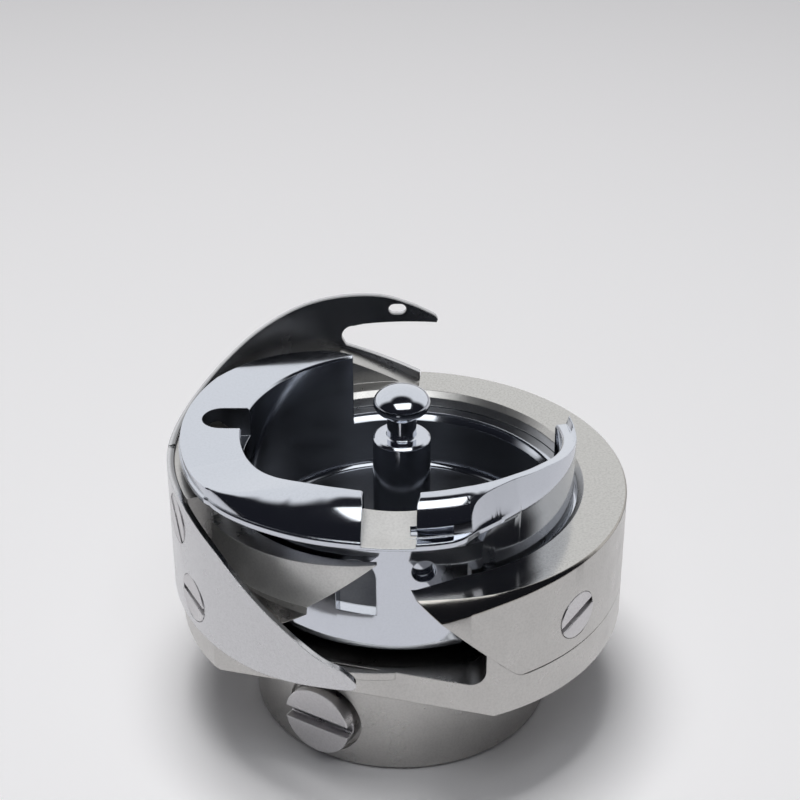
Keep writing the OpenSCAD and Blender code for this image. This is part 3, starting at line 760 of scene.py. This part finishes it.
def crease(foot, crest, rise, power, flange):
    """The share of the round at which it first lies inside the swept flank, for each azimuth."""
    share = np.linspace(0, 1, 721)
    r, h = round_edge(foot, crest, rise, power, share[None, :])
    over = r - flange[:, None] + LEAN * h
    at = np.clip((over <= 0).argmax(1), 1, None)
    row = np.arange(len(at))
    before, after = over[row, at - 1], over[row, at]
    crossing = share[at] - share[1] * after / np.minimum(after - before, -1e-9)
    first = np.where((over <= 0).any(1) & (rise > 0.2), crossing, 1.0)
    return np.clip(np.where(over[:, 0] > 0, first, 0.0), 0.0, 0.95)


# %% [markdown]
# A whole section of the rim goes up the cup's outside, out under the flange, round its thin
# edge, up the flank and the round to the crest, and down to the cup's inside. A section could
# have more points where there is more to show, but with the same number at every azimuth its
# neighbours join into clean quads.


# %% the holder's rim
def rim_sections(az):
    """(r, level) from the wall's outside, over the rim, to its inside, for each azimuth."""
    flange = along(FLANGE_R, az)
    foot = np.where(az < FOOT_R[0][0], flange - FOOT_STEP, along(FOOT_R, az))
    foot = np.where(az > SWEEP_AZ, foot, np.minimum(foot, flange - FOOT_STEP))
    crest = np.minimum(along(CREST_R, az), foot - 0.05)
    top, power = along(CREST_Z, az), along(ROUND, az)
    rise, lip = top - FLANGE_TOP, np.clip((flange - CUP_R) / 0.6, 0.1, 1)
    edge = flange - FLANGE_EASE * lip
    first = np.where(az > SWEEP_AZ, crease(foot, crest, rise, power, edge), 0)[:, None]
    steps = first + (1 - first) * np.linspace(0, 1, ROUND_STEPS)[None, :]
    round_r, round_h = round_edge(foot, crest, rise, power, steps)
    share = np.linspace(0, 1, FLANK_STEPS, endpoint=False)[None, :]
    flank_r = edge[:, None] + (round_r[:, :1] - edge[:, None]) * share
    flank_h = round_h[:, :1] * share
    flat = np.ones_like(az)
    r = np.column_stack([CUP_R * flat, np.minimum(WEB_R, edge), flange - 0.06 * lip, flange,
                         flange, edge, flank_r, round_r, (CUP_IN + 0.15) * flat, CUP_IN * flat])
    z = np.column_stack([(FLANGE_LOW - WEB_DROP) * flat, FLANGE_LOW * flat,
                         (FLANGE_LOW + 0.02) * flat, (FLANGE_LOW + 0.1) * flat,
                         (FLANGE_TOP - 0.15) * flat, FLANGE_TOP * flat, FLANGE_TOP + flank_h,
                         FLANGE_TOP + round_h, top, top - 0.2])
    return np.stack([r, z], -1)


LOW_TOP = path((CUP_R - 0.04, LOW_WALL - 0.03), (CUP_R - 0.12, LOW_WALL), (14.3, LOW_WALL))
CUP_OUT = path((SPIGOT_R, CUP_BOTTOM), arc(CUP_R - 1.5, CUP_BOTTOM + 1.5, 1.5, -90, 0, 6),
               (CUP_R, LOW_WALL - 0.1))
CUP_INSIDE = path((CUP_IN, -2.2), arc(CUP_IN - FILLET, CUP_FLOOR + FILLET, FILLET, 0, -90, 5),
                  (SPIGOT_R, CUP_FLOOR))


def holder_rings(az, upper):
    """Points of whole sections, shape (azimuths, count, 3): cup, upper outline, cup."""
    outlines = [everywhere(CUP_OUT, az), upper, everywhere(CUP_INSIDE, az)]
    return round_the_axis(az, np.concatenate(outlines, 1))


# %% [markdown]
# The tall rim and the low wall have different sections. They could be two rings joined by a
# Boolean, but their cups would coincide, which a Boolean handles badly. So they are two grids
# that share the cup's points, and at each end of the rim one flat face fills the step between
# the two outlines. The rings lie closest together round the fin, where the crease is.


# %% the turned holder
FIN_AZ, FINE_HALF = 299, 12
LOW_RINGS = 130


def tall_azimuths():
    """Azimuths of the tall rim, 0.14 degrees apart round the fin and up to 0.64 elsewhere."""
    fine = np.linspace(RIM_FROM, RIM_TO, 8001)
    spacing = 0.14 + 0.5 * np.clip((np.abs(fine - FIN_AZ) - FINE_HALF) / 40, 0, 1)
    rings = np.concatenate([[0], np.cumsum((fine[1] - fine[0]) / spacing[1:])])
    return np.interp(np.linspace(0, rings[-1], int(rings[-1]) + 1), rings, fine)


def turned_holder(name):
    """Tall and low rings as two grids, with a flat face at each end of the rim."""
    tall_az, low_az = tall_azimuths(), np.linspace(RIM_TO, FULL + RIM_FROM, LOW_RINGS)
    tall = holder_rings(tall_az, rim_sections(tall_az))
    low = holder_rings(low_az, everywhere(LOW_TOP, low_az))
    start = tall.shape[0] * tall.shape[1]
    faces = grid_faces(*tall.shape[:2], False) + grid_faces(*low.shape[:2], False, start)

    def upper(first, count):
        """The points of one ring between the last of CUP_OUT and the first of CUP_INSIDE."""
        return first + np.arange(len(CUP_OUT) - 1, count - len(CUP_INSIDE) + 1)

    for ring_t, ring_l in ((len(tall_az) - 1, 0), (0, len(low_az) - 1)):
        step = np.concatenate([upper(ring_t * tall.shape[1], tall.shape[1]),
                               upper(start + ring_l * low.shape[1], low.shape[1])[::-1][1:-1]])
        faces.append(step.tolist())
    return solid(name, np.vstack([tall.reshape(-1, 3), low.reshape(-1, 3)]), faces)


holder = turned_holder("bobbin_case_holder_skin")
print("holder turned:", len(holder.data.polygons), "faces")

# %% [markdown]
# The rib runs in the race and carries the whole holder. It could have been part of the section,
# but it grows out of the wall and sinks back into it, so it is a plain ring, joined on.


# %% the rib
RIB_FROM, RIB_TO = 300.2, 603.7
RIB_R = [(RIB_FROM, CUP_R - 0.2), (308, RACE_R - 0.05), (596, RACE_R - 0.05),
         (RIB_TO, CUP_R - 0.2)]


def rib_sections(az):
    """A plain block in section, whose reach grows from inside the wall over its first degrees."""
    reach, inner = along(RIB_R, az), np.full_like(az, CUP_IN + 0.4)
    low, high = np.full_like(az, RACE_FLOOR + 0.05), np.full_like(az, RACE_TOP - 0.05)
    return np.stack([np.column_stack([inner, reach, reach, inner]),
                     np.column_stack([low, low, high, high])], -1)


# %% [markdown]
# The notch that holds the holder still, the thread slot and the small windows are milled after
# turning, so they are straight-sided cuts through the swept solid. The notch's upper corners
# are eased by two more cutters, because a bevel there would run on along the whole rim.

# %% mill the holder
NOTCH_AZ, NOTCH_W = 266.4, 4.3
NOTCH_IN, NOTCH_OUT = (11.8, 6.1), (22, 2.22)
SLOT_W, SLOT_REACH, SLOT_Y, SLOT_FLOOR = 3.5, 17.35, 1.65, 2.2


def notch():
    """A cut across the rim, drawn in radius and level, whose floor falls outwards."""
    out, side = directions(NOTCH_AZ)
    outline = [NOTCH_IN, NOTCH_OUT, (NOTCH_OUT[0], 20), (NOTCH_IN[0], 20)]
    return prism("notch", outline, side * NOTCH_W / 2 + [0, 0, TOP], out, (0, 0, 1), NOTCH_W)


def notch_corner(side, radius=0.6, top=7.3):
    """What a quarter round leaves outside it, along one upper edge of the notch."""
    x = NOTCH_W / 2
    outline = path((side * (x - 0.1), top - radius), (side * x, top - radius),
                   [(side * (x + radius * (1 - math.cos(t))), top - radius * (1 - math.sin(t)))
                    for t in np.linspace(0.1, math.pi / 2, 7)],
                   (side * (x + radius), top + 2), (side * (x - 0.1), top + 2))
    outline = outline if side > 0 else outline[::-1]
    return facing_out("notch_corner", outline, NOTCH_AZ, 11.5, 18.5)


def thread_window(az=255.5, half=1.7, low=-4.0, top=1.2):
    """A round-topped opening through the cup's wall, from level low to level top."""
    outline = path((-half, low), (half, low), arc(0, top - half, half, 0, 180, 24))
    return facing_out("thread_window", outline, az, 12, 17)


def thread_slot():
    """A keyhole from the cup's inside out into the crescent, with a round end."""
    half, inner = SLOT_W / 2, 1 - CUP_IN
    outline = path(arc(half - SLOT_REACH, 0, half, 270, 90, 20)[::-1], (inner, -half),
                   (inner, half))[::-1]
    return prism("thread_slot", outline, (0, SLOT_Y, TOP + SLOT_FLOOR), (1, 0, 0), (0, 1, 0), 9)


undercut = box_ring("undercut", 15.2, 22, 4.5, 5.15, NOTCH_AZ + 6, 284.5, 0.5)
sight = rod("sight", 1.0, 276.8, 0.3, CUP_R - 0.9, 17)
join(holder, swept("rib", rib_sections, RIB_FROM, RIB_TO))
cut(holder, notch(), notch_corner(-1), notch_corner(1), undercut, thread_slot(), thread_window(),
    sight)
finish(holder, "holder", bright, "bobbin_case_holder")

# %% [markdown]
# Two kinds of face on the holder get a second material. The notch's sloping floor is left as
# milled, and the cup's floor and the sides of the thread slot get a near-black steel that is
# painted shade. Faces could be picked by number, but numbers change with every edit, so they are
# picked by place and direction.


# %% the milled floor and the painted shade of the holder
def notch_floor(normal, at):
    """The faces that look the way the notch's floor does."""
    fall = math.atan2(NOTCH_IN[1] - NOTCH_OUT[1], NOTCH_OUT[0] - NOTCH_IN[0])
    looks = directions(NOTCH_AZ)[0] * math.sin(fall) + [0, 0, math.cos(fall)]
    return normal @ looks > 0.99999


def cup_floor_and_slot(normal, at):
    """The cup's floor and the sides of the thread slot, which get painted shade."""
    floor = (normal[:, 2] > 0.97) & (at[:, 2] < TOP - 6)
    upright = (np.abs(normal[:, 2]) < 0.5) & (at[:, 2] > TOP + SLOT_FLOOR)
    by_slot = (at[:, 0] < -12) & (np.abs(at[:, 1] - SLOT_Y) < SLOT_W / 2 + 0.05)
    return floor | (by_slot & upright & (np.hypot(at[:, 0], at[:, 1]) < 18))


second_finish(holder, pale_matte_steel, notch_floor)
# painted shade on the cup's floor and the thread slot's sides
second_finish(holder, painted_shade_steel, cup_floor_and_slot)

# %% [markdown]
# ## The centre stud
#
# The stud carries the bobbin case. A sphere on a cylinder would come close, but its shoulder,
# neck and mushroom head are one turned outline, with the head's dome a quarter of an ellipse.

# %% the centre stud
HEAD_Z, DOME, DOME_R = 7.5, 1.4, 2.45
POST_R = 2.51
dome = np.radians(np.arange(8, 88, 8))
STUD = path((0, CUP_BOTTOM), (SPIGOT_R, CUP_BOTTOM), (SPIGOT_R, CUP_FLOOR), (POST_R, CUP_FLOOR),
            (POST_R, 4.05), (POST_R - 0.25, 4.3), (1.4, 4.3), (1.275, 4.42), (1.275, 6.2),
            (1.5, 6.5),
            curve([(1.6, 6.55), (2.1, 6.8), (2.38, 7.15), (DOME_R, HEAD_Z)], 4),
            np.column_stack([DOME_R * np.cos(dome), HEAD_Z + DOME * np.sin(dome)]),
            (0, HEAD_Z + DOME))
stud = swept("centre_stud_skin", STUD, step=3.0)
finish(stud, "holder", bright, "centre_stud", edge=0.06)

# %% [markdown]
# The plug in the floor of the body and the felt wick beside it stay as the CAD made them. Their
# plain shapes need no finer skin, so only a finish is put in their material slots. Felt is a
# mat of pale fibres with darker gaps, which a colour ramp over fine noise gives.

# %% plug and wick
GAPS, FIBRES = (0.62, 0.58, 0.46), (0.85, 0.82, 0.72)


def felt():
    """Two colours blended by noise with 4000 patches to the metre, and hardly any gloss."""
    mat, tree, shader = new_material("felt")
    place = add(tree, "TexCoord").outputs["Object"]
    ramp = add(tree, "ValToRGB", {"Fac": noise(tree, place, 4000.0, 2.0)})
    for stop, color in zip(ramp.color_ramp.elements, (GAPS, FIBRES)):
        stop.color = times(color, 1)
    tree.links.new(ramp.outputs["Color"], shader.inputs["Base Color"])
    shader.inputs["Roughness"].default_value = 0.95
    return mat


for node, mat in (("oil_plug", screw_steel), ("oil_wick", felt())):
    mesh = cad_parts[node].data
    mesh.materials.clear()
    mesh.materials.append(mat)
    print(node, "finished in", mat.name)

# %% [markdown]
# ## Stage, light and camera
#
# Polished metal shows what surrounds it, so the surroundings are part of the finish. The object
# stands on a white table before a pale wall, and the room behind the camera is dark. Flat tops
# then mirror the wall and turn pale, upright walls mirror the table, and the rounds between them
# carry a black band. Real walls and cards could be built round the object, but a world that
# mirrors, camera and rough surfaces each see in their own way does the same with no geometry.


# %% the table
def backdrop():
    """A wide flat sheet under the hub; cameras and mirrors see its paint as a full white, and
    mirrors find it dark beyond y = -0.1 m, where the room in front begins."""
    size, thick = 2500.0, 0.5
    sheet = prism("table", [(-size, -size), (size, -size), (size, size), (-size, size)],
                  (0, 0, -thick), (1, 0, 0), (0, 1, 0), thick)
    sheet.scale = (MM, MM, MM)
    mat, tree, shader = new_material("white_table")
    seen = add(tree, "LightPath").outputs
    watched = reckon(tree, "MAXIMUM", seen["Is Camera Ray"], seen["Is Glossy Ray"])
    white = blend(tree, watched, (0.80, 0.80, 0.81, 1), (0.98, 0.98, 1.0, 1))
    place = add(tree, "TexCoord").outputs["Object"]
    along_y = add(tree, "SeparateXYZ", {"Vector": place}).outputs["Y"]
    far = reckon(tree, "MULTIPLY", spread(tree, along_y, -80, -120), seen["Is Glossy Ray"])
    paint = blend(tree, far, white, (0.03, 0.03, 0.035, 1))
    tree.links.new(paint, shader.inputs["Base Color"])
    shader.inputs["Roughness"].default_value = 0.9
    shader.inputs["Specular IOR Level"].default_value = 0.0
    sheet.data.materials.append(mat)


backdrop()
print("table laid under the hub")

# %% [markdown]
# The room is the world itself. An image of a studio would do, but two soft steps, one in Y and
# one in Z, are enough: a pale wall, a dark front and a dark ceiling, with no hard line to run
# through a reflection.

# %% the room
PALE, DARK, FILL = (0.98, 0.99, 1.0, 1), (0.014, 0.015, 0.020, 1), (0.07, 0.07, 0.074, 1)
BEHIND = (0.86, 0.86, 0.88, 1)


def room():
    """Mirrors see a pale wall where y > 0 and up to 60 degrees, and a dark room elsewhere; the
    camera sees the pale wall, and rough surfaces an even, dim fill."""
    world = bpy.data.worlds.new("room")
    bpy.context.scene.world = world
    world.use_nodes = True
    tree = world.node_tree
    seen = add(tree, "LightPath").outputs
    place = add(tree, "TexCoord").outputs["Generated"]
    way = add(tree, "SeparateXYZ", {"Vector": place}).outputs
    walls = blend(tree, spread(tree, way["Y"], 0.0, 0.30, how="SMOOTHSTEP"), DARK, PALE)
    mirrored = blend(tree, spread(tree, way["Z"], 0.84, 0.93, how="SMOOTHSTEP"), walls, DARK)
    lit = blend(tree, seen["Is Glossy Ray"], FILL, mirrored)
    shown = blend(tree, seen["Is Camera Ray"], lit, BEHIND)
    tree.links.new(shown, tree.nodes["Background"].inputs["Color"])
    print("world:", world.name)


room()

# %% [markdown]
# Three panels share the work. One almost overhead throws the tight shadow round the hub, and
# a weak one in front fills the floor there; metal mirrors neither. The third is only for
# mirrors: a broad panel above the camera, which is the white band along every polished round.
# One large lamp could do all three, but then its reflection would set how bright the floor is.

# %% lamps
MIDDLE = Vector((0, 0, 0.02))


def softbox(name, at, size, power, color):
    """A rectangular panel at a place in metres, facing the object's middle."""
    data = bpy.data.lights.new(name, "AREA")
    data.shape, data.size, data.size_y = "RECTANGLE", size[0], size[1]
    data.energy, data.color = power, color
    lamp = bpy.data.objects.new(name, data)
    lamp.location = at
    lamp.rotation_mode = "QUATERNION"
    lamp.rotation_quaternion = (MIDDLE - Vector(at)).to_track_quat("-Z", "Y")
    bpy.context.scene.collection.objects.link(lamp)
    print(name, power, "W")
    return lamp


overhead = softbox("overhead_panel", (-0.03, 0.03, 0.50), (0.20, 0.20), 1.62, (1, 0.99, 0.98))
fill = softbox("fill_panel", (0.01, -0.20, 0.42), (0.30, 0.20), 0.33, (0.98, 0.99, 1))
overhead.visible_glossy = fill.visible_glossy = False
front = softbox("front_panel", (0.03, -0.19, 0.42), (0.40, 0.30), 0.85, (0.97, 0.99, 1))
front.visible_diffuse = False

# %% [markdown]
# The camera stands close in front and looks down at the hook, so that near rims look larger
# than far ones. A longer lens from further away would lose that, and depth of field would blur
# the horn, so it stays off. The Standard view shows colours as they are written.

# %% camera and view settings
LOOK_AT = Vector((-0.15, 0, TOP + 7.72)) * MM
DISTANCE, ELEVATION = 153.8 * MM, math.radians(29.35)
camera_data = bpy.data.cameras.new("camera")
camera_data.lens, camera_data.sensor_width = 81.1, 36.0
camera_data.dof.use_dof = False
camera = bpy.data.objects.new("camera", camera_data)
camera.location = LOOK_AT + Vector((0, -math.cos(ELEVATION), math.sin(ELEVATION))) * DISTANCE
camera.rotation_euler = (math.pi / 2 - ELEVATION, 0, 0)
bpy.context.scene.collection.objects.link(camera)
bpy.context.scene.camera = camera
bpy.context.scene.view_settings.view_transform = "Standard"
print("camera at", [round(value / MM, 1) for value in camera.location], "mm")
